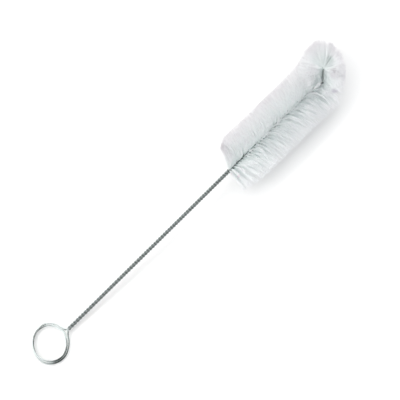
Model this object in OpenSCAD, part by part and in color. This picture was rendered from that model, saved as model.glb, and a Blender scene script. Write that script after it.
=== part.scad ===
// Test tube brush: one length of wire, looped twice into a ring handle and
// twisted on itself into a stem, with a round fill of bristles held between
// the two strands. The far end of the stem is bent up and to the left, so that
// the bristles also sweep the bottom of a tube. The brush lies on a table, on
// the far side of its ring and on the underside of its bristles.
// +X runs from the ring to the tip, +Z is up, and z = 0 is the table.

/* [Wire] */
// Diameter of the wire
wire_d = 1.15; // [1.0:0.05:1.3]
// Length of one full twist beside the ring
lay_ring = 4.08; // [3.8:0.02:4.4]
// Length of one full twist towards the bristles
lay_head = 3.44; // [3.3:0.02:3.7]
// Layer of bristles clamped between the strands
clamped = 0.25; // [0.15:0.05:0.35]

/* [Ring] */
// Mean radius of the ring, to the middle of the wire
ring_r = 10; // [9.5:0.1:11]
// Distance from the ring's centre to where the twist starts
neck_l = 11.6; // [11.4:0.1:12.5]

/* [Stem] */
// Free length of the twisted stem, from the ring to the bristles
stem_l = 121.8; // [100:0.2:140]
// Radius of the slight bend where the stem enters the bristles
base_bend_r = 100; // [80:5:140]

/* [Head] */
// Diameter across the bristles
head_d = 28.8; // [26:0.2:31]
// Length from the first bristle to the bent end of the wire
head_l = 68.3; // [60:0.1:80]
// How much the bristles give where the head lies on the table
head_sink = 0.7; // [0.4:0.1:1.0]
// How far the fill of bristles sits to the right of the wire
head_off = 0.9; // [0:0.1:1.2]
// Slant of the first row of bristles
base_slant = 14; // [0:1:20]

/* [Tip] */
// Sideways drift of the wire in the last part of the head
yaw = 8; // [4:1:10]
// Length of the bent end
tip_l = 13; // [11:0.5:14]
// Direction of the bent end, to the left of straight ahead
tip_left = 39.4; // [30:0.2:45]
// Climb of the bent end above level
tip_rise = 50.3; // [45:0.1:55]
// Radius of the bend, to the middle of the stem
tip_bend_r = 3; // [2.5:0.1:3.5]
// Reach of the bristles round the end of the wire
tip_reach = 13; // [12.5:0.1:14]

/* [Hidden] */
$fn = 64;

// ---- the two strands -------------------------------------------------------
strand_r = 0.52 * wire_d;                   // strand centre to stem axis, free stem
strand_r_head = strand_r + clamped / 2;     // the same, with bristles in between
level = 0.52 * wire_d;                      // the ring's two turns lie at -level and +level
sides = 6;
facet_r = 1.05 * wire_d / 2;                // corner radius of the six-sided section
start_turn = 40;                            // angle of the left strand where the twist starts
side_shift = -0.9;                          // the stem leaves the ring a little right of centre

// ---- heights ---------------------------------------------------------------
axis_h = head_d / 2 - head_sink;            // height of the wire inside the head
far_r = 1.035 * ring_r;                     // the ring's radius at the far end
under = wire_d / 2 + 0.03;                  // from the lower turn's centre line down to the table
yaw_r = 50;
yaw_len = yaw_r * yaw * PI / 180;
yaw_lead = 9.4;                             // from the end of the drift to the tip's corner

// The stem climbs from the ring on the table to the middle of the head.
function climb(n, a) = n == 0 ? a :
    climb(n - 1, asin((axis_h - level * cos(a) - under - base_bend_r * (1 - cos(a)))
        / (far_r + neck_l + stem_l - base_bend_r * a * PI / 360)));
slope = climb(6, 5);
base_len = base_bend_r * slope * PI / 180;
straight_l = stem_l - base_len / 2;

// ---- place of the ring: the brush is centred over the origin ----------------
x_back = far_r * cos(slope) - level * sin(slope) + wire_d / 2;
x_ahead = (neck_l + straight_l) * cos(slope) + base_bend_r * sin(slope) + head_l - base_len / 2
    + tip_l * cos(tip_rise) * cos(tip_left) + tip_reach;
y_corner = -(yaw_r * tan(yaw / 2) + yaw_lead) * sin(yaw);
y_stem = -y_corner - (tip_l * cos(tip_rise) * sin(tip_left) + tip_reach - head_d / 2 * cos(yaw) - head_off) / 2;
ring_c = [(x_back - x_ahead) / 2, y_stem - side_shift,
    far_r * sin(slope) + level * cos(slope) + under];
ring_x = [cos(slope), 0, sin(slope)];
ring_y = [0, 1, 0];
ring_z = [-sin(slope), 0, cos(slope)];
function on_ring(p) = ring_c + ring_x * p[0] + ring_y * p[1] + ring_z * p[2];

// ---- the stem's axis: straight lengths and bends, end to end ----------------
// Each piece is [length, angle turned, direction of the turn from left towards up].
dir_in = [cos(yaw), -sin(yaw), 0];
dir_tip = [cos(tip_rise) * cos(tip_left), cos(tip_rise) * sin(tip_left), sin(tip_rise)];
tip_turn = acos(dir_in * dir_tip);
side = dir_tip - dir_in * (dir_in * dir_tip);
tip_dir = atan2(side[2], side * [sin(yaw), cos(yaw), 0]);
tip_cut = tip_bend_r * tan(tip_turn / 2);
pieces = [
    [straight_l, 0, 0],
    [base_len, slope, -90],
    [head_l - base_len / 2 - yaw_lead * cos(yaw) - yaw_r * sin(yaw), 0, 0],
    [yaw_len, yaw, 180],
    [yaw_lead - tip_cut, 0, 0],
    [tip_bend_r * tip_turn * PI / 180, tip_turn, tip_dir],
    [tip_l - tip_cut, 0, 0]
];

function unit(v) = v / norm(v);
function turned(v, b, a) = v * cos(a) + cross(b, v) * sin(a) + b * (b * v) * (1 - cos(a));
// A pose is [point, forward, left, up].
function along(f, e, s) = e[1] == 0 ? [f[0] + f[1] * s, f[1], f[2], f[3]] :
    let (a = e[1] * s / e[0], r = e[0] / (e[1] * PI / 180),
        w = f[2] * cos(e[2]) + f[3] * sin(e[2]), b = cross(f[1], w))
    [f[0] + (f[1] * sin(a) + w * (1 - cos(a))) * r, turned(f[1], b, a), turned(f[2], b, a), turned(f[3], b, a)];
neck = [on_ring([neck_l, side_shift, 0]), ring_x, ring_y, ring_z];
function start(i) = i == 0 ? [0, neck] :
    let (q = start(i - 1)) [q[0] + pieces[i - 1][0], along(q[1], pieces[i - 1], pieces[i - 1][0])];
starts = [for (i = [0:len(pieces) - 1]) start(i)];
stem_len = starts[6][0] + pieces[6][0];
function pose(s) = let (k = max([for (i = [0:6]) s >= starts[i][0] ? i : 0]))
    along(starts[k][1], pieces[k], s - starts[k][0]);

// ---- the twist: right-handed, tighter away from the ring ---------------------
even_from = 88;
function rate(s) = 1 / lay_ring + (1 / lay_head - 1 / lay_ring) * min(s, even_from) / even_from;
function turn(s) = start_turn + 360 * (s <= even_from
    ? s / lay_ring + (1 / lay_head - 1 / lay_ring) * s * s / (2 * even_from)
    : even_from * (1 / lay_ring + 1 / lay_head) / 2 + (s - even_from) / lay_head);
function apart(s) = strand_r + (strand_r_head - strand_r) * min(1, max(0, (s - stem_l + 3) / 6));
function out(s, way) = let (f = pose(s)) (f[2] * cos(turn(s)) + f[3] * sin(turn(s))) * way;
function strand(s, way) = pose(s)[0] + out(s, way) * apart(s);
function heading(s, way) = unit(strand(s + 0.02, way) - strand(s, way));
function steps(s) = s < stem_l ? 8 : 6;
stations = [for (s = 0; s < stem_len - 0.3; s = s + 1 / (steps(s) * rate(s))) s, stem_len];
last = len(stations) - 1;

// ---- the ring: two turns, the second on top of the first --------------------
// Radius of each turn every 30 degrees, as a share of ring_r, clockwise from the neck.
first_turn = [0.98, 0.95, 1.00, 1.04, 1.08, 1.035, 0.97, 0.97, 1.01, 1.01, 0.95];
second_turn = [0.86, 0.86, 0.91, 0.94, 0.955, 0.95, 0.95, 0.97, 1.04, 1.12, 1.07];
function polar(a, r, h) = [r * ring_r * cos(a), -r * ring_r * sin(a), h];
route = [
    polar(15, 1.04, -level),
    for (i = [0:10]) polar(30 * (i + 1), first_turn[i], -level),
    polar(345, 0.925, -level / 2),
    polar(360, 0.96, 0),
    polar(375, 0.905, level / 2),
    for (i = [0:10]) polar(30 * (i + 13), second_turn[i], level),
    polar(705, 1.04, level),
    polar(716, 1.075, level * 0.9)
];
knots = [strand(0, -1), for (p = route) on_ring(p), strand(0, 1)];
ends = len(knots) - 1;
function way(i) = i == 0 ? -heading(0, -1) : i == ends ? heading(0, 1) :
    unit(unit(knots[i + 1] - knots[i]) + unit(knots[i] - knots[i - 1]));
function curve(i, t) = let (g = norm(knots[i + 1] - knots[i]))
    knots[i] * (1 + 2 * t) * (1 - t) * (1 - t) + way(i) * g * t * (1 - t) * (1 - t)
    + knots[i + 1] * t * t * (3 - 2 * t) + way(i + 1) * g * t * t * (t - 1);
function parts(i) = 3;
bow = [for (i = [0:ends - 1]) for (j = [0:parts(i) - 1]) if (i + j > 0) [i, j / parts(i)]];
function blend(a) = a[0] < 1 ? 1 - a[1] : a[0] >= ends - 1 ? a[1] : 0;

// ---- the whole wire, from one cut end to the other --------------------------
// Each entry is [point, direction that a flat of the section faces or undef].
way_in = [for (i = [last:-1:0]) [strand(stations[i], -1), out(stations[i], -1), 1]];
way_round = [for (a = bow) [curve(a[0], a[1]), a[0] < ends / 2 ? out(0, -1) : out(0, 1), blend(a)]];
way_out = [for (i = [0:last]) [strand(stations[i], 1), out(stations[i], 1), 1]];
path = concat(way_in, way_round, way_out);
count = len(path);
function ahead(i) = unit(path[min(i + 1, count - 1)][0] - path[max(i - 1, 0)][0]);
function facing(i) = let (t = ahead(i), ref = path[i][1] * path[i][2] + unit(cross(ring_z, t)) * (1 - path[i][2]))
    unit(ref - t * (ref * t));
function section(i) = let (t = ahead(i), n = facing(i), b = cross(t, n))
    [for (k = [0:sides - 1]) path[i][0] + (n * cos(30 + 60 * k) + b * sin(30 + 60 * k)) * facet_r];

module wire()
    color([0.62, 0.66, 0.64])
    polyhedron(
        points = [for (i = [0:count - 1]) each section(i)],
        faces = [
            [for (k = [0:sides - 1]) k],
            [for (k = [sides - 1:-1:0]) (count - 1) * sides + k],
            for (i = [0:count - 2]) for (k = [0:sides - 1]) let (m = (k + 1) % sides)
                each [[i * sides + k, (i + 1) * sides + k, (i + 1) * sides + m],
                      [i * sides + k, (i + 1) * sides + m, i * sides + m]]
        ],
        convexity = 10);

// ---- the bristles: the outline of the fill ----------------------------------
head_r = head_d / 2;
base = [pose(stem_l)[0][0], pose(stem_l)[0][1], axis_h];
drift = starts[3][1][0] + [yaw_r * tan(yaw / 2), 0, 0];     // corner of the sideways drift
corner = drift + dir_in * (yaw_r * tan(yaw / 2) + yaw_lead); // corner of the bent end
end = corner + dir_tip * tip_l;
bore_r = strand_r_head + facet_r + 0.15;

// Lays a solid drawn along +Z from the origin along the direction d from p.
module lay(p, d)
    translate(p) rotate([0, acos(d[2]), atan2(d[1], d[0])]) children();

module outline() {
    // the body, with its slanted first row, follows the wire's sideways drift
    difference() {
        translate([base[0] - 8, base[1] - head_off, base[2]]) rotate([0, 90, 0])
            cylinder(r = head_r, h = drift[0] - base[0] + 9.2);
        translate(base) rotate([0, 0, -base_slant]) translate([-40, 0, 0]) cube([80, 120, 60], center = true);
    }
    lay(drift - dir_in * 1.2 - [0, head_off, 0], dir_in) cylinder(r = head_r, h = norm(corner - drift) + 1.2);
    // round the bend
    translate(corner - [0, head_off, 0]) sphere(r = head_r - 0.3);
    // along the bent end, and fanned out past the end of the wire
    lay(corner, dir_tip) cylinder(r = tip_reach - 0.5, h = tip_l);
    intersection() {
        translate(end) sphere(r = tip_reach);
        lay(end - dir_tip * 6, dir_tip) cylinder(r = tip_reach + 5, h = 15);
    }
}

// The way through the bristles for the twisted wire.
module channel() {
    translate([base[0] - 20, base[1], base[2]]) rotate([0, 90, 0])
        cylinder(r = bore_r, h = drift[0] - base[0] + 20);
    translate(drift) sphere(r = bore_r + 0.15);
    lay(drift, dir_in) cylinder(r = bore_r, h = norm(corner - drift));
    translate(corner) sphere(r = bore_r + 1.3);
    lay(corner, dir_tip) cylinder(r = bore_r, h = tip_l + 1);
}

module bristles()
    color([0.93, 0.95, 0.94])
    difference() {
        outline();
        translate([-150, -60, -40]) cube([300, 120, 40]);
        channel();
    }

wire();
bristles();
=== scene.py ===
"""Looks of the test tube brush: a twisted wire with a two-turn ring, and a head of separate filaments.
Lengths are worked out in millimetres, as in the CAD, and scaled to metres when a mesh is made."""
import math

import bpy
import numpy as np
from mathutils import Matrix


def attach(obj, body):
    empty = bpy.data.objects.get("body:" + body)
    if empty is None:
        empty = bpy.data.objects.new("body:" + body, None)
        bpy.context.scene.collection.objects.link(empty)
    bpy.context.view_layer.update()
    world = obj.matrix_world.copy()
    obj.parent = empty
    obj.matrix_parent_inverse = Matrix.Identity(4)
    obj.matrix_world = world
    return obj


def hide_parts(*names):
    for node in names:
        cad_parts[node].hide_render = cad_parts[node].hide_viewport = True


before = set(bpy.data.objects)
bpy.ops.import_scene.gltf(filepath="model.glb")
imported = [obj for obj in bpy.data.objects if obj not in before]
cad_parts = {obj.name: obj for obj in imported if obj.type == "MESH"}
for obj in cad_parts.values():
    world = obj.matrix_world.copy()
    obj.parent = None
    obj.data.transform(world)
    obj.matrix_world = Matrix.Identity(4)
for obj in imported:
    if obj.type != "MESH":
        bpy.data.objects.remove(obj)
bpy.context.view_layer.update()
MM = 0.001

# ---------------------------------------------------------------- dimensions, as in the CAD
wire_d, lay_ring, lay_head, clamped = 1.15, 4.08, 3.44, 0.25
ring_r, neck_l, stem_l, base_bend_r = 10.0, 11.6, 121.8, 100.0
head_d, head_l, head_sink, head_off, base_slant = 28.8, 68.3, 0.7, 0.9, 14.0
yaw, tip_l, tip_left, tip_rise, tip_bend_r, tip_reach = 8.0, 13.0, 39.4, 50.3, 3.0, 13.0
start_turn, side_shift, even_from, yaw_r, yaw_lead = 40.0, -0.9, 88.0, 50.0, 9.4

strand_r = 0.52 * wire_d
strand_r_head = strand_r + clamped / 2
level = 0.52 * wire_d
axis_h = head_d / 2 - head_sink
far_r = 1.035 * ring_r
under = wire_d / 2 + 0.03
yaw_len = yaw_r * math.radians(yaw)
D = math.radians


def sind(a): return math.sin(D(a))
def cosd(a): return math.cos(D(a))


ALPHA = 44.6                                     # the brush points this far up from the picture's right
rightwards = np.array([cosd(ALPHA), -sind(ALPHA), 0])
upward = np.array([sind(ALPHA), cosd(ALPHA), 0])

slope = 5.0
for _ in range(6):
    slope = math.degrees(math.asin(
        (axis_h - level * cosd(slope) - under - base_bend_r * (1 - cosd(slope)))
        / (far_r + neck_l + stem_l - base_bend_r * D(slope) / 2)))
base_len = base_bend_r * D(slope)
straight_l = stem_l - base_len / 2
x_back = far_r * cosd(slope) - level * sind(slope) + wire_d / 2
x_ahead = ((neck_l + straight_l) * cosd(slope) + base_bend_r * sind(slope) + head_l - base_len / 2
           + tip_l * cosd(tip_rise) * cosd(tip_left) + tip_reach)
y_corner = -(yaw_r * math.tan(D(yaw / 2)) + yaw_lead) * sind(yaw)
y_stem = -y_corner - (tip_l * cosd(tip_rise) * sind(tip_left) + tip_reach - head_d / 2 * cosd(yaw) - head_off) / 2
ring_c = np.array([(x_back - x_ahead) / 2, y_stem - side_shift,
                   far_r * sind(slope) + level * cosd(slope) + under])
ring_x = np.array([cosd(slope), 0, sind(slope)])
ring_y = np.array([0.0, 1.0, 0.0])
ring_z = np.array([-sind(slope), 0, cosd(slope)])


def on_ring(p):
    return ring_c + ring_x * p[0] + ring_y * p[1] + ring_z * p[2]


# ---------------------------------------------------------------- the stem's axis
dir_in = np.array([cosd(yaw), -sind(yaw), 0])
dir_tip = np.array([cosd(tip_rise) * cosd(tip_left), cosd(tip_rise) * sind(tip_left), sind(tip_rise)])
tip_turn = math.degrees(math.acos(dir_in @ dir_tip))
side = dir_tip - dir_in * (dir_in @ dir_tip)
tip_dir = math.degrees(math.atan2(side[2], side @ np.array([sind(yaw), cosd(yaw), 0])))
tip_cut = tip_bend_r * math.tan(D(tip_turn / 2))
pieces = [
    (straight_l, 0, 0),
    (base_len, slope, -90),
    (head_l - base_len / 2 - yaw_lead * cosd(yaw) - yaw_r * sind(yaw), 0, 0),
    (yaw_len, yaw, 180),
    (yaw_lead - tip_cut, 0, 0),
    (tip_bend_r * D(tip_turn), tip_turn, tip_dir),
    (tip_l - tip_cut, 0, 0),
]


def turned(v, b, a):
    return v * cosd(a) + np.cross(b, v) * sind(a) + b * (b @ v) * (1 - cosd(a))


def along(f, e, s):
    if e[1] == 0:
        return (f[0] + f[1] * s, f[1], f[2], f[3])
    a, r = e[1] * s / e[0], e[0] / D(e[1])
    w = f[2] * cosd(e[2]) + f[3] * sind(e[2])
    b = np.cross(f[1], w)
    return (f[0] + (f[1] * sind(a) + w * (1 - cosd(a))) * r, turned(f[1], b, a), turned(f[2], b, a), turned(f[3], b, a))


starts, pose, here = [], (on_ring((neck_l, side_shift, 0)), ring_x, ring_y, ring_z), 0.0
for e in pieces:
    starts.append((here, pose))
    pose, here = along(pose, e, e[0]), here + e[0]
stem_len = here
s_bend = starts[5][0]                    # where the tip's bend begins
s_up = starts[6][0]                      # where the bent end is straight again
STEP = 0.1
grid = np.arange(0, stem_len + STEP, STEP)
table = np.zeros((len(grid), 4, 3))
for i, s in enumerate(grid):
    k = max(j for j in range(7) if s >= starts[j][0] - 1e-9)
    table[i] = np.array(along(starts[k][1], pieces[k], s - starts[k][0]))


def axis(s):
    """Point, forward, left and up of the stem's axis at the lengths s."""
    x = np.clip(np.asarray(s, float) / STEP, 0, len(grid) - 1.001)
    i = x.astype(int)
    f = (x - i)[:, None, None]
    t = table[i] * (1 - f) + table[i + 1] * f
    n = t[:, 1:] / np.linalg.norm(t[:, 1:], axis=2, keepdims=True)
    return t[:, 0], n[:, 0], n[:, 1], n[:, 2]


def turn(s):
    s = np.asarray(s, float)
    q0, q1 = 1 / lay_ring, 1 / lay_head
    near = s * q0 + (q1 - q0) * s * s / (2 * even_from)
    far = even_from * (q0 + q1) / 2 + (s - even_from) * q1
    return np.radians(start_turn + 360 * np.where(s <= even_from, near, far))


def strand(s, way):
    s = np.asarray(s, float)
    p, t, left, up = axis(s)
    a = strand_r + (strand_r_head - strand_r) * np.clip((s - stem_l + 3) / 6, 0, 1)
    w = turn(s)[:, None]
    return p + (left * np.cos(w) + up * np.sin(w)) * a[:, None] * way


def smooth(x, a, b):
    t = np.clip((x - a) / (b - a), 0, 1)
    return t * t * (3 - 2 * t)


# ---------------------------------------------------------------- mesh helpers
def unit(v):
    return v / np.maximum(np.linalg.norm(v, axis=-1, keepdims=True), 1e-12)


def make(name, verts, faces, uvs, material, nodes, soft=True):
    """A piece from arrays: verts in millimetres, faces as quads (-1 pads a triangle), uvs a dict of name to per-corner UVs."""
    mesh = bpy.data.meshes.new(name)
    size = np.where(faces[:, 3] < 0, 3, 4)
    loops = faces[faces >= 0]
    mesh.vertices.add(len(verts))
    mesh.vertices.foreach_set("co", (verts * MM).astype(np.float32).ravel())
    mesh.loops.add(len(loops))
    mesh.loops.foreach_set("vertex_index", loops.astype(np.int32))
    mesh.polygons.add(len(faces))
    first = np.concatenate([[0], np.cumsum(size)[:-1]])
    mesh.polygons.foreach_set("loop_start", first.astype(np.int32))
    mesh.polygons.foreach_set("loop_total", size.astype(np.int32))
    mesh.polygons.foreach_set("use_smooth", np.full(len(faces), soft))
    for uv_name, uv in uvs.items():
        layer = mesh.uv_layers.new(name=uv_name)
        layer.data.foreach_set("uv", uv.astype(np.float32).ravel())
    mesh.update(calc_edges=True)
    mesh.validate()
    mesh.materials.append(material)
    ob = bpy.data.objects.new(name, mesh)
    bpy.context.scene.collection.objects.link(ob)
    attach(ob, "root")
    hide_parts(*nodes)
    return ob


def transport(points):
    """Unit tangents and a normal carried along each row of points without twist. points is (rows, n, 3)."""
    t = np.empty_like(points)
    t[:, 1:-1] = unit(points[:, 2:] - points[:, :-2])
    t[:, 0] = unit(points[:, 1] - points[:, 0])
    t[:, -1] = unit(points[:, -1] - points[:, -2])
    ref = np.where(np.abs(t[:, 0, 2:3]) < 0.8, np.array([[0.0, 0, 1]]), np.array([[0.0, 1, 0]]))
    n = np.empty_like(points)
    n[:, 0] = unit(ref - t[:, 0] * (ref * t[:, 0]).sum(1, keepdims=True))
    for i in range(1, points.shape[1]):
        v = n[:, i - 1]
        n[:, i] = unit(v - t[:, i] * (v * t[:, i]).sum(1, keepdims=True))
    return t, n


# ---------------------------------------------------------------- materials
def nodes_of(name):
    mat = bpy.data.materials.new(name)
    mat.use_nodes = True
    nt = mat.node_tree
    nt.nodes.clear()
    out = nt.nodes.new("ShaderNodeOutputMaterial")
    return mat, nt, out


def link(nt, a, b):
    nt.links.new(a, b)


def ramp(nt, source, stops):
    r = nt.nodes.new("ShaderNodeValToRGB")
    e = r.color_ramp.elements
    while len(e) < len(stops):
        e.new(0.5)
    for x, (at, col) in zip(e, stops):
        x.position = at
        x.color = (*col, 1) if len(col) == 3 else col
    link(nt, source, r.inputs[0])
    return r.outputs[0]


# how dark the stem's crests are drawn: partly dull metal, partly painted shade
CREST_DULL_AND_SHADE = 0.54


def steel():
    """Galvanised drawn wire: grey with a little green, die lines along it, and faint zinc mottling."""
    mat, nt, out = nodes_of("galvanised_wire")
    uv = nt.nodes.new("ShaderNodeUVMap"); uv.uv_map = "wire"
    lines = nt.nodes.new("ShaderNodeMapping"); lines.inputs["Scale"].default_value = (0.35, 9.0, 1)
    link(nt, uv.outputs[0], lines.inputs[0])
    n1 = nt.nodes.new("ShaderNodeTexNoise"); n1.noise_dimensions = "2D"
    n1.inputs["Scale"].default_value = 1.6; n1.inputs["Detail"].default_value = 4
    link(nt, lines.outputs[0], n1.inputs[0])
    spots = nt.nodes.new("ShaderNodeMapping"); spots.inputs["Scale"].default_value = (1.0, 3.6, 1)
    link(nt, uv.outputs[0], spots.inputs[0])
    n2 = nt.nodes.new("ShaderNodeTexNoise"); n2.noise_dimensions = "2D"
    n2.inputs["Scale"].default_value = 0.9; n2.inputs["Detail"].default_value = 3
    link(nt, spots.outputs[0], n2.inputs[0])
    mix = nt.nodes.new("ShaderNodeMix"); mix.data_type = "FLOAT"; mix.inputs[0].default_value = 0.45
    link(nt, n1.outputs[0], mix.inputs[2]); link(nt, n2.outputs[0], mix.inputs[3])
    col = ramp(nt, mix.outputs[0], [(0.30, (0.72, 0.77, 0.76)), (0.50, (0.80, 0.84, 0.83)), (0.72, (0.88, 0.90, 0.89))])
    rough = ramp(nt, n2.outputs[0], [(0.3, (0.13,) * 3), (0.7, (0.23,) * 3)])
    # the twisted stem is darkened: dull metal with painted shade on its crests, and painted shade between its strands,
    # under the bristles and on the ring around five o'clock
    dull_and_shade_uv = nt.nodes.new("ShaderNodeUVMap"); dull_and_shade_uv.uv_map = "dull_and_painted_shade"
    sep = nt.nodes.new("ShaderNodeSeparateXYZ"); link(nt, dull_and_shade_uv.outputs[0], sep.inputs[0])
    depth = ramp(nt, sep.outputs[1], [(0.0, (CREST_DULL_AND_SHADE,) * 3), (0.42, (1.0,) * 3)])
    dull_and_shade = nt.nodes.new("ShaderNodeMath"); dull_and_shade.operation = "MULTIPLY"
    link(nt, sep.outputs[0], dull_and_shade.inputs[0]); link(nt, depth, dull_and_shade.inputs[1])
    dark = ramp(nt, mix.outputs[0], [(0.35, (0.02, 0.034, 0.033)), (0.65, (0.06, 0.088, 0.086))])
    base = nt.nodes.new("ShaderNodeMix"); base.data_type = "RGBA"
    link(nt, dull_and_shade.outputs[0], base.inputs[0]); link(nt, col, base.inputs[6]); link(nt, dark, base.inputs[7])
    p = nt.nodes.new("ShaderNodeBsdfPrincipled")
    link(nt, base.outputs[2], p.inputs["Base Color"])
    link(nt, rough, p.inputs["Roughness"])
    p.inputs["Metallic"].default_value = 1.0
    bump = nt.nodes.new("ShaderNodeBump"); bump.inputs["Strength"].default_value = 0.25
    bump.inputs["Distance"].default_value = 0.00003
    link(nt, n1.outputs[0], bump.inputs["Height"])
    link(nt, bump.outputs[0], p.inputs["Normal"])
    link(nt, p.outputs[0], out.inputs[0])
    return mat


TUFT_DARK = (0.942, 0.948, 0.951)
# place in the plan, size and colour
DARK_PATCHES = [((98.2, -8.7), 1.7, (0.78, 0.75, 0.80)), ((99.1, -9.9), 1.3, (0.83, 0.80, 0.85)), ((108.8, 4.9), 2.6, (0.90, 0.922, 0.915)),
           ((27.8, -1.8), 0.9, (0.93, 0.84, 0.88)), ((29.9, -5.4), 1.0, (0.94, 0.86, 0.90))]


def nylon():
    """Translucent white filament: greyer green towards the root, and a little different from one filament to the next."""
    mat, nt, out = nodes_of("nylon_filament")
    uv = nt.nodes.new("ShaderNodeUVMap"); uv.uv_map = "strand"
    sep = nt.nodes.new("ShaderNodeSeparateXYZ"); link(nt, uv.outputs[0], sep.inputs[0])
    # darker towards the ends: painted shade against the key light, which the lighter ends on the right side mostly
    # escape
    lengthwise = ramp(nt, sep.outputs[0], [(0.0, (0.98, 0.996, 0.992)), (0.5, (0.995, 0.999, 0.998)), (0.75, (0.985, 0.982, 0.985)), (1.0, (0.88, 0.863, 0.876))])
    def rows(across, along, detail):
        m = nt.nodes.new("ShaderNodeMapping"); m.inputs["Scale"].default_value = (along, across, 1)
        link(nt, uv.outputs[0], m.inputs[0])
        n = nt.nodes.new("ShaderNodeTexNoise"); n.noise_dimensions = "2D"; n.inputs["Scale"].default_value = 1.0
        n.inputs["Detail"].default_value = detail
        link(nt, m.outputs[0], n.inputs[0])
        return n
    tuft, n = rows(150.0, 0.6, 1), rows(900.0, 1.5, 2)
    by_tuft = ramp(nt, tuft.outputs[0], [(0.34, TUFT_DARK), (0.60, (1.0, 1.0, 1.0))])
    each = ramp(nt, n.outputs[0], [(0.35, (0.98, 0.987, 0.987)), (0.65, (1.0, 1.0, 1.0))])
    # the tufts differ more on the right, which also greys it on average: painted shade on the side away from the key
    # light
    tone = nt.nodes.new("ShaderNodeUVMap"); tone.uv_map = "tone"
    side = nt.nodes.new("ShaderNodeSeparateXYZ"); link(nt, tone.outputs[0], side.inputs[0])
    share = nt.nodes.new("ShaderNodeMapRange"); share.inputs[3].default_value = 0.35; share.inputs[4].default_value = 1.0
    link(nt, side.outputs[0], share.inputs[0])
    both = nt.nodes.new("ShaderNodeMix"); both.data_type = "RGBA"; both.blend_type = "MULTIPLY"
    link(nt, share.outputs[0], both.inputs[0])
    link(nt, each, both.inputs[6]); link(nt, by_tuft, both.inputs[7])
    mul = nt.nodes.new("ShaderNodeMix"); mul.data_type = "RGBA"; mul.blend_type = "MULTIPLY"; mul.inputs[0].default_value = 1.0
    link(nt, lengthwise, mul.inputs[6]); link(nt, both.outputs[2], mul.inputs[7])
    # painted shade: the right side, away from the key light, is greyer inside; its ends are spared
    inner = ramp(nt, sep.outputs[0], [(0.0, (0.5,) * 3), (0.25, (1.0,) * 3), (0.48, (1.0,) * 3), (0.66, (0.0,) * 3)])
    painted_right_shade = nt.nodes.new("ShaderNodeMath"); painted_right_shade.operation = "MULTIPLY"
    link(nt, inner, painted_right_shade.inputs[0]); link(nt, side.outputs[0], painted_right_shade.inputs[1])
    grey = nt.nodes.new("ShaderNodeMix"); grey.data_type = "RGBA"; grey.blend_type = "MULTIPLY"
    link(nt, painted_right_shade.outputs[0], grey.inputs[0]); link(nt, mul.outputs[2], grey.inputs[6])
    grey.inputs[7].default_value = (0.970, 0.974, 0.974, 1)
    mul = grey
    # small darker patches, at given places in the plan
    where = nt.nodes.new("ShaderNodeTexCoord")
    flat = nt.nodes.new("ShaderNodeVectorMath"); flat.operation = "MULTIPLY"; flat.inputs[1].default_value = (1, 1, 0)
    link(nt, where.outputs["Object"], flat.inputs[0])
    for place, size, colour in DARK_PATCHES:
        gap = nt.nodes.new("ShaderNodeVectorMath"); gap.operation = "DISTANCE"; gap.inputs[1].default_value = (place[0] * MM, place[1] * MM, 0)
        link(nt, flat.outputs[0], gap.inputs[0])
        near = nt.nodes.new("ShaderNodeMath"); near.operation = "DIVIDE"; near.inputs[1].default_value = size * MM
        link(nt, gap.outputs["Value"], near.inputs[0])
        patch_tint = ramp(nt, near.outputs[0], [(0.1, colour), (1.0, (1.0, 1.0, 1.0))])
        more = nt.nodes.new("ShaderNodeMix"); more.data_type = "RGBA"; more.blend_type = "MULTIPLY"; more.inputs[0].default_value = 1.0
        link(nt, mul.outputs[2], more.inputs[6]); link(nt, patch_tint, more.inputs[7])
        mul = more
    rough = ramp(nt, n.outputs[0], [(0.3, (0.38,) * 3), (0.7, (0.5,) * 3)])
    p = nt.nodes.new("ShaderNodeBsdfPrincipled")
    link(nt, mul.outputs[2], p.inputs["Base Color"])
    link(nt, rough, p.inputs["Roughness"])
    p.inputs["IOR"].default_value = 1.53
    tr = nt.nodes.new("ShaderNodeBsdfTranslucent")
    link(nt, mul.outputs[2], tr.inputs[0])
    mix = nt.nodes.new("ShaderNodeMixShader"); mix.inputs[0].default_value = 0.45
    link(nt, p.outputs[0], mix.inputs[1]); link(nt, tr.outputs[0], mix.inputs[2])
    link(nt, mix.outputs[0], out.inputs[0])
    return mat


# ---------------------------------------------------------------- the wire
first_turn = [0.98, 0.95, 1.00, 1.04, 1.08, 1.035, 0.97, 0.97, 1.01, 1.01, 0.95]
second_turn = [0.86, 0.86, 0.91, 0.94, 0.955, 0.95, 0.95, 0.97, 1.04, 1.12, 1.07]


def polar(a, r, h):
    return (r * ring_r * cosd(a), -r * ring_r * sind(a), h)


def ring_knots():
    route = [polar(15, 1.04, -level)]
    route += [polar(30 * (i + 1), first_turn[i], -level) for i in range(11)]
    route += [polar(345, 0.925, -level / 2), polar(360, 0.96, 0), polar(375, 0.905, level / 2)]
    route += [polar(30 * (i + 13), second_turn[i], level) for i in range(11)]
    route += [polar(705, 1.04, level), polar(716, 1.075, level * 0.9)]
    return [strand([0.0], -1)[0]] + [on_ring(p) for p in route] + [strand([0.0], 1)[0]]


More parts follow.
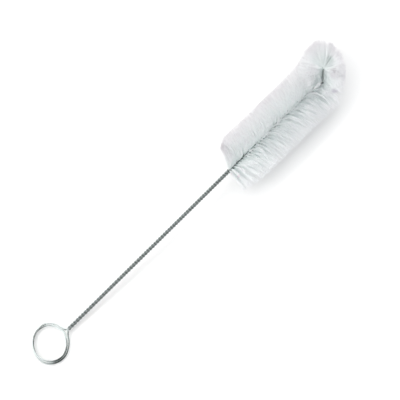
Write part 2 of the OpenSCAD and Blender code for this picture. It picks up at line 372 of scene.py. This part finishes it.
def build_wire():
    knots = np.array(ring_knots())
    n = len(knots)
    tan = np.zeros((n, 3))
    tan[1:-1] = unit(unit(knots[2:] - knots[1:-1]) + unit(knots[1:-1] - knots[:-2]))
    tan[0] = -unit(strand([0.02], -1)[0] - knots[0])
    tan[-1] = unit(strand([0.02], 1)[0] - knots[-1])
    loop = []
    for i in range(n - 1):
        g = np.linalg.norm(knots[i + 1] - knots[i])
        m = 12
        for j in range(m):
            if i + j == 0:
                continue
            t = j / m
            loop.append(knots[i] * (1 + 2 * t) * (1 - t) ** 2 + tan[i] * g * t * (1 - t) ** 2
                        + knots[i + 1] * t * t * (3 - 2 * t) + tan[i + 1] * g * t * t * (t - 1))
    turns = (turn([stem_len])[0] - turn([0.0])[0]) / (2 * math.pi)
    fine = np.linspace(0, 1, int(turns * 20))
    dense = np.linspace(0, stem_len, 4000)
    w = turn(dense)
    s = np.interp(w[0] + (w[-1] - w[0]) * fine, w, dense)
    path = np.vstack([strand(s[::-1], -1), loop, strand(s, 1)])
    t, nrm = transport(path[None])
    t, nrm = t[0], nrm[0]
    b = np.cross(t, nrm)
    sides, r = 14, wire_d / 2
    ang = 2 * np.pi * np.arange(sides) / sides
    ring = nrm[:, None] * np.cos(ang)[None, :, None] + b[:, None] * np.sin(ang)[None, :, None]
    count = len(path)
    # cut ends: a narrow chamfer and a flat face
    pts = [path[0] - t[0] * 0.0]
    verts = [path[0][None] + ring[0] * r * 0.86, (path[0] + t[0] * 0.07)[None] + ring[0] * r]
    mid = path[1:-1, None] + ring[1:-1] * r
    verts += [mid.reshape(-1, 3), (path[-1] - t[-1] * 0.07)[None] + ring[-1] * r, path[-1][None] + ring[-1] * r * 0.86]
    arc = np.concatenate([[0], np.cumsum(np.linalg.norm(np.diff(path, axis=0), axis=1))])
    arc = np.concatenate([[arc[0], arc[0] + 0.07], arc[1:-1], [arc[-1] - 0.07, arc[-1]]])
    V = np.vstack(verts)
    rows = len(arc)
    V = np.vstack([V, path[0][None], path[-1][None]])
    i, k = np.meshgrid(np.arange(rows - 1), np.arange(sides), indexing="ij")
    i, k = i.ravel(), k.ravel()
    m = (k + 1) % sides
    quads = np.stack([i * sides + k, i * sides + m, (i + 1) * sides + m, (i + 1) * sides + k], 1)
    kk = np.arange(sides)
    c0, c1 = rows * sides, rows * sides + 1
    cap0 = np.stack([np.full(sides, c0), (kk + 1) % sides, kk, np.full(sides, -1)], 1)
    cap1 = np.stack([np.full(sides, c1), (rows - 1) * sides + kk, (rows - 1) * sides + (kk + 1) % sides, np.full(sides, -1)], 1)
    faces = np.vstack([quads, cap0, cap1])
    # UVs in millimetres for the pattern, and the same strip folded into rows for a bake
    total, girth = arc[-1], math.pi * wire_d
    ua = np.stack([arc[i], arc[i], arc[i + 1], arc[i + 1]], 1)
    va = np.stack([k, k + 1, k + 1, k], 1) / sides * girth
    ends = np.zeros((sides, 3, 2))
    ends[:, 1] = np.stack([0.5 * np.cos(ang), 0.5 * np.sin(ang)], 1)
    ends[:, 2] = np.stack([0.5 * np.cos(ang + ang[1]), 0.5 * np.sin(ang + ang[1])], 1)
    wire_uv = np.vstack([np.stack([ua, va], 2).reshape(-1, 2), (ends + [-2, 0]).reshape(-1, 2), (ends + [total + 2, 0]).reshape(-1, 2)])
    folds = int(round(math.sqrt(total / (girth * 1.08))))
    run = total / folds
    row_of = np.minimum((arc[i] / run + 1e-6).astype(int), folds - 1)
    bu = (ua - (row_of * run)[:, None]) / (run * 1.03) * 0.96 + 0.005
    bv = (row_of[:, None] + 0.04 + 0.92 * va / girth) / (folds + 1)
    bake = np.stack([bu, bv], 2).reshape(-1, 2)
    flat = (ends * 0.03 + [0.05, 1 - 0.4 / (folds + 1)]).reshape(-1, 2)
    flat2 = (ends * 0.03 + [0.15, 1 - 0.4 / (folds + 1)]).reshape(-1, 2)
    # how far a point is on the twisted stem, and painted shade where it lies between the strands or under the bristles
    twisted, shade_under_bristles = np.zeros(count), np.zeros(count)
    inward = np.zeros((count, 3))
    for rows_of, where, way in ((slice(0, len(s)), s[::-1], -1), (slice(count - len(s), count), s, 1)):
        p, _, left, up = axis(where)
        twisted[rows_of] = smooth(where, -0.5, 3.0) * (1 - 0.3 * smooth(where, s_up - 1, s_up + 2))
        shade_under_bristles[rows_of] = smooth(where, stem_l - 1, stem_l + 3) * (0.3 + 0.7 * smooth(where, s_bend - 5, s_bend - 1) - 0.95 * smooth(where, s_up - 1, s_up + 2))
        inward[rows_of] = -(left * np.cos(turn(where))[:, None] + up * np.sin(turn(where))[:, None]) * way
    # painted shade on the ring's inner and upper faces around five o'clock in the picture, where its two turns lie side
    # by side
    turns_of = slice(len(s), count - len(s))
    v = path[turns_of] - ring_c
    clock = (90 - np.degrees(np.arctan2(v @ upward, v @ rightwards))) / 30 % 12
    twisted[turns_of] = 0.9 * np.exp(-((clock - 5.15) / 1.05) ** 2)
    inward[turns_of] = unit(-unit(v) + [0, 0, 0.8])
    # painted shade on faces that turn in between the strands, and on the wire under the bristles
    painted_groove_shade = np.maximum(np.maximum((ring * inward[:, None]).sum(2), 0), 0.66 * shade_under_bristles[:, None])
    at = np.minimum(np.concatenate([[0], np.arange(count), [count - 1]]), count - 1)
    twisted, painted_groove_shade = twisted[at], painted_groove_shade[at]
    tw = np.stack([twisted[i], twisted[i], twisted[i + 1], twisted[i + 1]], 1)
    dp = np.stack([painted_groove_shade[i, k], painted_groove_shade[i, m], painted_groove_shade[i + 1, m], painted_groove_shade[i + 1, k]], 1)
    dull_and_painted_shade = np.vstack([np.stack([tw, dp], 2).reshape(-1, 2), np.tile([1.0, 0.75], (sides * 6, 1))])
    return make("wire_twisted", V, faces, {"wire": wire_uv, "dull_and_painted_shade": dull_and_painted_shade, "OFBake": np.vstack([bake, flat, flat2])},
                steel(), ["wire"])


# ---------------------------------------------------------------- the filaments
class Noise:
    """Smooth noise over length along the head and angle round it."""
    def __init__(self, cell_s, cells_a, seed):
        self.cell, self.n = cell_s, cells_a
        self.v = np.random.default_rng(seed).uniform(-1, 1, (int(120 / cell_s) + 4, cells_a))

    def __call__(self, s, a):
        x = (s - stem_l + 5) / self.cell
        y = (a / (2 * np.pi) % 1) * self.n
        i, j = np.floor(x).astype(int), np.floor(y).astype(int)
        fx, fy = x - i, y - j
        fx, fy = fx * fx * (3 - 2 * fx), fy * fy * (3 - 2 * fy)
        i = np.clip(i, 0, self.v.shape[0] - 2)
        j0, j1 = j % self.n, (j + 1) % self.n
        return ((self.v[i, j0] * (1 - fx) + self.v[i + 1, j0] * fx) * (1 - fy)
                + (self.v[i, j1] * (1 - fx) + self.v[i + 1, j1] * fx) * fy)


FIL_D = 0.22
FULL = 2400
SEGS = 8
lock_lean, lock_turn = Noise(1.5, 26, 3), Noise(1.9, 20, 4)
wave_lean, wave_turn = Noise(5.0, 9, 5), Noise(6.0, 8, 6)
kink_a, kink_b = Noise(1.3, 24, 7), Noise(2.6, 14, 8)


def half(s, a, seed, extra_lean=0.0, extra_reach=0.0):
    """Points of one half of each filament: s is its place along the stem, a its angle round it. Rows of SEGS + 1 points."""
    r = np.random.default_rng(seed)
    n = len(s)
    p, fwd, left, up = axis(s)
    body = 1 - smooth(s, s_bend - 2, s_bend + 3)
    fan = smooth(s, stem_len - 4.0, stem_len)
    a = a + 0.10 * lock_turn(s, a) + 0.12 * wave_turn(s, a)
    # the fill is parted along the top, so that the wire shows
    top = np.array([0.0, 0, 1]) - fwd * fwd[:, 2:3]
    top_a = np.arctan2((top * up).sum(1), (top * left).sum(1))
    from_top = (a - top_a + np.pi) % (2 * np.pi) - np.pi
    part = np.radians(9) * (1 - smooth(s, stem_l + 4, stem_l + 26)) + np.radians(27) * (1 - body)
    width = np.radians(26) * body + np.radians(52) * (1 - body)
    a = a + np.sign(from_top) * part * np.exp(-(from_top / width) ** 2)
    # and it lies a little flatter than round
    a = a + body * 0.16 * np.sin(2 * from_top) * smooth(np.abs(from_top), 0.35, 0.9)
    rad = left * np.cos(a)[:, None] + up * np.sin(a)[:, None]
    # how far along the head, and what the direction is in the plan
    h = np.clip((s - stem_l) / (s_bend - stem_l), 0, 1)
    y = np.cos(a)                                   # +1 on the left side, -1 on the right
    right = smooth(-y, -0.2, 0.7) * body
    # the right side is tousled in clumps near its base, and more finely further on
    clumps = right * (1 - 0.55 * smooth(s, stem_l + 20, stem_l + 32))
    # lean towards the tip, in degrees
    lean = 20 + 2 * wave_lean(s, a) + (1.5 + 5.0 * clumps) * lock_lean(s, a) + r.normal(0, 2.5 + 2.0 * right, n)
    lean += right * (-7 * np.exp(-((h - 0.33) / 0.16) ** 2) + 3 * smooth(h, 0.5, 0.9))
    first = 1 - smooth(s, stem_l, stem_l + 6)
    lean = lean * (1 - first) + first * (9 + 18 * y + r.normal(0, 2.0, n))
    # past the bend they fan out towards the wire's end
    lean = lean * body + (1 - body) * (14 + 5 * lock_lean(s, a) + r.normal(0, 4, n) + 30 * fan)
    lean = lean + extra_lean
    back = 0.62 * (1 - first) * body + 0.15          # how much of the lean is lost towards the end
    swirl = r.normal(0, 4 + 1.5 * right, n) + (1.5 + 4.5 * clumps) * lock_turn(s + 3, a + 1)
    kink = (2.0 + 9 * clumps) * kink_a(s, a) + r.normal(0, 2.0 + 3.5 * right, n)
    kink2 = (1.5 + 6.5 * clumps) * kink_b(s, a)
    # where the fill is trimmed to, as distances in the plan from a straight line
    d = s - stem_l
    plus = np.interp(d, [0, 1, 5.6, 6.6, 10, 17, 34, 46, 52, 57, 62, 68], [12.1, 13.1, 14.3, 15.6, 15.6, 15.3, 15.0, 14.8, 15.1, 16.1, 17.1, 17.5])
    minus = np.interp(d, [0, 2, 5, 10, 17, 34, 46, 51, 60, 68], [12.8, 14.1, 15.3, 15.7, 15.9, 15.6, 15.6, 15.7, 15.9, 16.0])
    wide, off = (plus + minus) / 2, (plus - minus) / 2 - p[:, 1]
    ry = rad[:, 1]
    reach = off * ry + np.sqrt(wide ** 2 - off ** 2 * (1 - ry ** 2))
    # those at the wire's end reach further on the far left, and a little less on the right
    far_up = (1.2 * smooth(rad @ upward, 0.1, 0.6) + 1.6 * smooth(rad @ upward, 0.62, 0.76)
              + 0.8 * smooth(rad @ (upward - rightwards), 0.55, 1.15)) * smooth(s, stem_len - 9, stem_len - 3)
    reach = reach * body + (1 - body) * (tip_reach + 0.4 * (1 - fan) * np.abs(y) - 0.9 * fan
                                         + far_up - 0.9 * smooth(rad @ rightwards, 0.4, 0.9))
    reach = reach * (1 - np.abs(r.normal(0, 0.010 + 0.008 * right, n))) + extra_reach
    r0 = 0.10
    t = np.linspace(0, 1, SEGS + 1)
    mid = (t[1:] + t[:-1]) / 2
    ln = np.radians(lean[:, None] * (1 - back[:, None] * mid[None] ** 1.3)
                    + kink2[:, None] * np.sin(2 * np.pi * mid[None]) * mid[None])
    sw = np.radians(swirl[:, None] * mid[None] ** 1.2 + kink[:, None] * np.sin(2.2 * np.pi * mid[None]) * mid[None])
    tang = np.cross(fwd, rad)
    way = (rad[:, None] * (np.cos(ln) * np.cos(sw))[..., None] + tang[:, None] * (np.cos(ln) * np.sin(sw))[..., None]
           + fwd[:, None] * np.sin(ln)[..., None])
    cum = np.concatenate([np.zeros((n, 1, 3)), np.cumsum(way, 1)], 1) / SEGS
    out = (cum[:, -1] * rad).sum(1)
    # a fanned filament keeps its length, the others are trimmed to the outline
    trim = body + (1 - body) * (1 - fan)
    length = (reach - r0) / np.maximum(out * trim + (1 - trim), 0.3)
    pts = p[:, None] + rad[:, None] * r0 + cum * length[:, None, None]
    # those that meet the table bend along it
    low = FIL_D * 0.6
    z = pts[..., 2]
    z2 = np.where(z < low + 0.5, low + 0.5 * np.exp(np.minimum(z - low - 0.5, 0) / 0.5), z)
    pts[..., 1] += np.sign(pts[..., 1] - p[:, None, 1]) * np.clip(z2 - z, 0, 2) * 0.5
    pts[..., 2] = z2
    return pts


def filament_places():
    """Evenly filled: every dozen neighbours share out the spread of angles between them."""
    places, spread = [], []
    bell = np.clip(np.sort(np.random.default_rng(19).normal(0, 1, 4000)), -2.2, 2.2)
    for seed, n in ((20, FULL), (21, 216), (22, 336)):
        pick = np.random.default_rng(seed)
        places.append((np.arange(n) + pick.random(n)) / n)
        share = pick.permuted(np.tile(np.arange(12.0), (2 * n // 12, 1)), axis=1).reshape(2, n) + pick.random((2, n))
        spread.append(np.interp(share / 12, (np.arange(4000) + 0.5) / 4000, bell))
    s = np.concatenate([stem_l + 0.35 + (stem_len - stem_l - 0.5) * places[0],
                        stem_l + 0.3 + 4.0 * places[1] ** 1.5, stem_len - 0.15 - 4.5 * places[2] ** 1.4])
    a = turn(s) + math.pi / 2
    loose = np.radians(28 + 6 * smooth(s, stem_l + 14, stem_l + 32) + 32 * smooth(s, stem_len - 6, stem_len - 1))
    off = np.concatenate(spread, 1) * loose
    return s, a + off[0], a + math.pi + off[1]


def gathered(s, a, seed):
    """One half of each filament, gathered towards the nearest of the tufts that leave the wire along its twist."""
    pick = np.random.default_rng(seed + 50)
    place = np.arange(stem_l + 0.1, stem_len, lay_head / 24)
    ts = np.concatenate([place, place]) + pick.uniform(-0.4, 0.4, 2 * len(place))
    ta = np.concatenate([turn(place), turn(place) + math.pi]) + math.pi / 2 + np.radians(pick.normal(0, 12, 2 * len(place)))
    gap_s = (s[:, None] - ts[None]) / 0.75
    gap_a = ((a[:, None] - ta[None] + np.pi) % (2 * np.pi) - np.pi) / np.radians(13)
    near = np.argmin(gap_s ** 2 + gap_a ** 2, axis=1)
    own, lead = half(s, a, seed), half(ts, ta, seed + 20)[near]
    rightward = smooth(-np.cos(a), -0.2, 0.7)
    t = np.linspace(0, 1, SEGS + 1)[None]
    hold = (0.24 + 0.40 * rightward * (0.4 + 0.6 * smooth(s, stem_l + 6, stem_l + 14)) * (1 - 0.6 * smooth(s, stem_l + 20, stem_l + 32)))[:, None] * smooth(t, 0.03, 0.5) * (1 - 0.5 * smooth(t, 0.6, 1.0))
    beyond = smooth(s, s_bend - 1, s_bend + 3)
    _, _, left, up = axis(s)
    rad = left * np.cos(a)[:, None] + up * np.sin(a)[:, None]
    # which ends are drawn lighter: painted light on the right side, away from the key light, and on the fan
    on_top = 0.75 * smooth(np.sin(a), 0.35, 0.8) * smooth(s, stem_l + 14, stem_l + 28)
    fanned = np.maximum((0.35 + 0.65 * smooth(np.cos(a), -0.3, 0.5)) * (1 - 0.85 * smooth(rad @ upward, 0.05, 0.5)),
                        smooth(rad[:, 2], 0.0, 0.5))
    lighter_ends = rightward * (1 - beyond) * (1 - on_top) + beyond * fanned
    uneven_and_shaded = (rightward * (1 - beyond) * (0.35 + 0.65 * smooth(s, stem_l + 10, stem_l + 24))
              + 0.9 * beyond * smooth(rad @ (upward + rightwards), 0.2, 0.8))
    return own + (lead - own) * hold[..., None], near, uneven_and_shaded, lighter_ends


def build_bristles():
    s, a1, a2 = filament_places()
    one, tuft, right1, lighter_ends1 = gathered(s, a1, 11)
    two, _, right2, lighter_ends2 = gathered(s, a2, 12)
    line = np.concatenate([one[:, ::-1], two], 1)
    # a few at the very tip were missed by the trimmer and stand longer
    few = np.random.default_rng(31)
    n = 140
    s3 = stem_len - 0.2 - 2.2 * few.random(n)
    _, _, left, up = axis(s3)
    a3 = np.arctan2(up @ upward, left @ upward) + np.radians(few.normal(0, 24, n))
    line = np.concatenate([line, np.concatenate([half(s3, a3, 13, few.uniform(-6, 4, n), few.uniform(-3.5, 1.6, n))[:, ::-1],
                                                 half(s3, a3 + math.pi, 14, 0.0, -0.6)], 1)])
    s = np.concatenate([s, s3])
    tuft = np.concatenate([tuft, np.arange(n) + 10000])
    right1, right2, lighter_ends1, lighter_ends2 = [np.concatenate([q, np.full(n, v)]) for q, v in ((right1, 0), (right2, 0), (lighter_ends1, 0.1), (lighter_ends2, 0))]
    parts = [("bristles_base", stem_l, stem_l + 22), ("bristles_middle", stem_l + 22, stem_l + 44),
             ("bristles_fore", stem_l + 44, s_bend - 2), ("bristles_tip", s_bend - 2, stem_len + 1)]
    mat = nylon()
    made = []
    for name, lo, hi in parts:
        k = (s >= lo) & (s < hi)
        pts = line[k]
        n, m, _ = pts.shape
        t, nrm = transport(pts)
        b = np.cross(t, nrm)
        sides = 4
        ang = 2 * np.pi * (np.arange(sides) + 0.5) / sides
        ring = nrm[:, :, None] * np.cos(ang)[None, None, :, None] + b[:, :, None] * np.sin(ang)[None, None, :, None]
        V = (pts[:, :, None] + ring * FIL_D / 2).reshape(-1, 3)
        f, i, j = np.meshgrid(np.arange(n), np.arange(m - 1), np.arange(sides), indexing="ij")
        f, i, j = f.ravel(), i.ravel(), j.ravel()
        j2 = (j + 1) % sides
        base = f * m * sides
        quads = np.stack([base + i * sides + j, base + i * sides + j2, base + (i + 1) * sides + j2, base + (i + 1) * sides + j], 1)
        q = np.arange(n) * m * sides
        cap0 = np.stack([q + 3, q + 2, q + 1, q], 1)
        e = q + (m - 1) * sides
        cap1 = np.stack([e, e + 1, e + 2, e + 3], 1)
        faces = np.vstack([quads, cap0, cap1])
        # U is 0 at the wire and 1 at both ends, V is the filament's own row
        # the ends are drawn darkest on the left, where the key light falls, and lighter on the right away from it:
        # painted light and shade; the tufts differ most on the right
        end1, end2 = [1 - 0.24 * q[k] for q in (lighter_ends1, lighter_ends2)]
        along_u = np.abs(np.linspace(-1, 1, m))[None] * np.where(np.arange(m)[None] <= m // 2, end1[:, None], end2[:, None])
        uneven_and_shaded = np.where(np.arange(m)[None] <= m // 2, right1[k][:, None], right2[k][:, None])
        uneven_and_shaded = uneven_and_shaded + (np.interp(np.arange(m), [m // 2 - 2, m // 2 + 2], [0, 1])[None] * (right2[k] - right1[k])[:, None] + right1[k][:, None] - uneven_and_shaded)
        shuffled = np.random.default_rng(5).permutation(20000)[tuft[k]]
        own = np.empty(n)
        own[np.argsort(shuffled, kind="stable")] = (np.arange(n) + 0.5) / n
        u = np.stack([along_u[f, i], along_u[f, i], along_u[f, i + 1], along_u[f, i + 1]], 1)
        w = np.stack([uneven_and_shaded[f, i], uneven_and_shaded[f, i], uneven_and_shaded[f, i + 1], uneven_and_shaded[f, i + 1]], 1)
        v = np.repeat(own[f][:, None], 4, 1) + (np.stack([j, j2, j2, j], 1) % 2 - 0.5) * 0.5 / n
        row = np.repeat(own[:, None], 4, 1)
        caps = [np.stack([np.repeat(e[:, None], 4, 1), row], 2).reshape(-1, 2) for e in (end1, end2)]
        uv = np.vstack([np.stack([u, v], 2).reshape(-1, 2)] + caps)
        tone = np.vstack([np.stack([w, v], 2).reshape(-1, 2)] + [np.stack([np.repeat(q[k][:, None], 4, 1), row], 2).reshape(-1, 2) for q in (right1, right2)])
        made.append(make(name, V, faces, {"strand": uv, "tone": tone, "OFBake": uv * [0.98, 1] + [0.01, 0]}, mat, ["bristles"], False))
    return made


# ---------------------------------------------------------------- floor, light and camera
build_wire()
build_bristles()


def floor():
    mesh = bpy.data.meshes.new("floor")
    k = 4.0
    mesh.from_pydata([(-k, -k, 0), (k, -k, 0), (k, k, 0), (-k, k, 0)], [], [(0, 1, 2, 3)])
    ob = bpy.data.objects.new("floor", mesh)
    ob.location = (0, 0, -0.00002)
    bpy.context.scene.collection.objects.link(ob)
    mat, nt, out = nodes_of("pale_table")
    p = nt.nodes.new("ShaderNodeBsdfPrincipled")
    p.inputs["Base Color"].default_value = (0.94, 0.94, 0.935, 1)
    p.inputs["Roughness"].default_value = 0.9
    link(nt, p.outputs[0], out.inputs[0])
    mesh.materials.append(mat)


def area(name, direction, size, power, colour):
    """A soft box; size is its length along the brush and across it, for a distance of 1 m, and so is its power in watts."""
    light = bpy.data.lights.new(name, "AREA")
    light.shape = "ELLIPSE"
    light.size, light.size_y = size[0] * FAR, size[1] * FAR
    light.energy = power * FAR ** 2
    light.color = colour
    ob = bpy.data.objects.new(name, light)
    d = np.array(direction, float)
    d /= np.linalg.norm(d)
    ob.location = d * FAR + np.array([0.03, 0, 0.01])
    lengthways = unit(np.array([1.0, 0, 0]) - d * d[0])
    across = np.cross(d, lengthways)
    ob.rotation_mode = "QUATERNION"
    ob.rotation_quaternion = Matrix(np.stack([lengthways, across, d], 1).tolist()).to_quaternion()
    ob.visible_camera = False
    ob.visible_glossy = False                    # the studio world gives the reflections
    bpy.context.scene.collection.objects.link(ob)
    return ob


floor()
FAR = 2.5


def towards(azimuth, height):
    """A direction at so many degrees from the picture's right, and so far above the table."""
    return (cosd(azimuth) * rightwards + sind(azimuth) * upward) * cosd(height) + np.array([0, 0, sind(height)])


area("key", towards(136, 69), (4.2, 0.6), 8.2, (1.0, 1.0, 0.985))
area("spot", towards(135, 57), (4.0, 0.3), 4.5, (1.0, 1.0, 0.99))
area("low_fill", towards(136 - 180, 13), (1.0, 0.3), 4.6, (1.0, 1.0, 1.0))


# direction in the picture, where the screen begins and is full (as sines from overhead), and how dark it is
NEAR_SCREEN = (-50, -0.06, 0.12, 1.0)
FAR_SCREEN = (130, 0.14, 0.34, 0.85)
OPEN_ENDS = (0.42, 0.75)


def studio():
    """A bright tent all round; polished metal sees the dark side of the room, away from the key light."""
    world = bpy.data.worlds.new("studio")
    world.use_nodes = True
    nt = world.node_tree
    nt.nodes.clear()
    out = nt.nodes.new("ShaderNodeOutputWorld")
    where = nt.nodes.new("ShaderNodeTexCoord")
    dot = nt.nodes.new("ShaderNodeVectorMath"); dot.operation = "DOT_PRODUCT"
    away = cosd(-48) * rightwards + sind(-48) * upward
    dot.inputs[1].default_value = tuple(away * cosd(0) + np.array([0, 0, sind(0)]))
    link(nt, where.outputs["Generated"], dot.inputs[0])
    half_up = nt.nodes.new("ShaderNodeMath"); half_up.operation = "MULTIPLY_ADD"
    half_up.inputs[1].default_value = 0.5; half_up.inputs[2].default_value = 0.5
    link(nt, dot.outputs["Value"], half_up.inputs[0])
    soft = ramp(nt, half_up.outputs[0], [(0.0, (1.0, 1.0, 1.0)), (0.5, (0.95, 0.95, 0.96)), (1.0, (0.4, 0.4, 0.43))])
    # reflections: a bright tent, with a dark screen beyond the lower right and a weaker one facing it
    def level_of(axis_dir, low, high, full=1.0):
        d = nt.nodes.new("ShaderNodeVectorMath"); d.operation = "DOT_PRODUCT"; d.inputs[1].default_value = tuple(axis_dir)
        link(nt, where.outputs["Generated"], d.inputs[0])
        m = nt.nodes.new("ShaderNodeMapRange"); m.interpolation_type = "SMOOTHSTEP"
        m.inputs[1].default_value = low; m.inputs[2].default_value = high; m.inputs[4].default_value = full
        link(nt, d.outputs["Value"], m.inputs[0])
        return m.outputs[0]
    def heading(azimuth):
        return cosd(azimuth) * rightwards + sind(azimuth) * upward
    def combined(how, a, b):
        m = nt.nodes.new("ShaderNodeMath"); m.operation = how
        link(nt, a, m.inputs[0]); link(nt, b, m.inputs[1])
        return m.outputs[0]
    dark_side = combined("MAXIMUM", level_of(heading(NEAR_SCREEN[0]), *NEAR_SCREEN[1:]), level_of(heading(FAR_SCREEN[0]), *FAR_SCREEN[1:]))
    beyond = combined("MAXIMUM", level_of(heading(58), *OPEN_ENDS), level_of(heading(-132), *OPEN_ENDS))
    screen = combined("SUBTRACT", dark_side, beyond)
    box = level_of(cosd(60) * heading(135) + np.array([0, 0, sind(60)]), 0.93, 0.975, 1.5)
    shade = ramp(nt, screen, [(0.0, (1.22, 1.24, 1.24)), (0.5, (0.40, 0.44, 0.44)), (1.0, (0.02, 0.026, 0.026))])
    glow = nt.nodes.new("ShaderNodeVectorMath"); glow.operation = "ADD"
    link(nt, shade, glow.inputs[0]); link(nt, box, glow.inputs[1])
    room = glow.outputs[0]
    tent = nt.nodes.new("ShaderNodeBackground"); tent.inputs[1].default_value = 0.86
    link(nt, soft, tent.inputs[0])
    mirror = nt.nodes.new("ShaderNodeBackground"); mirror.inputs[1].default_value = 1.0
    link(nt, room, mirror.inputs[0])
    path = nt.nodes.new("ShaderNodeLightPath")
    mix = nt.nodes.new("ShaderNodeMixShader")
    link(nt, path.outputs["Is Glossy Ray"], mix.inputs[0])
    link(nt, tent.outputs[0], mix.inputs[1]); link(nt, mirror.outputs[0], mix.inputs[2])
    link(nt, mix.outputs[0], out.inputs[0])
    bpy.context.scene.world = world


studio()
bpy.context.scene.view_settings.view_transform = "Standard"
bpy.context.scene.cycles.max_bounces = 48
bpy.context.scene.cycles.diffuse_bounces = 40
bpy.context.scene.cycles.transmission_bounces = 40

cam = bpy.data.cameras.new("camera")
DIST, SPAN, LOOK_Z = 9.0, 400 * 0.5358 * MM, 0.0137
cam.sensor_width = 36
cam.lens = 36 * DIST / SPAN
cam.clip_start, cam.clip_end = 0.05, 60
cam_ob = bpy.data.objects.new("camera", cam)
cam_ob.location = ((ring_c[0] + 111.15) * MM, (y_stem - 0.21) * MM, LOOK_Z + DIST)
cam_ob.rotation_euler = (0, 0, -D(ALPHA))
bpy.context.scene.collection.objects.link(cam_ob)
bpy.context.scene.camera = cam_ob
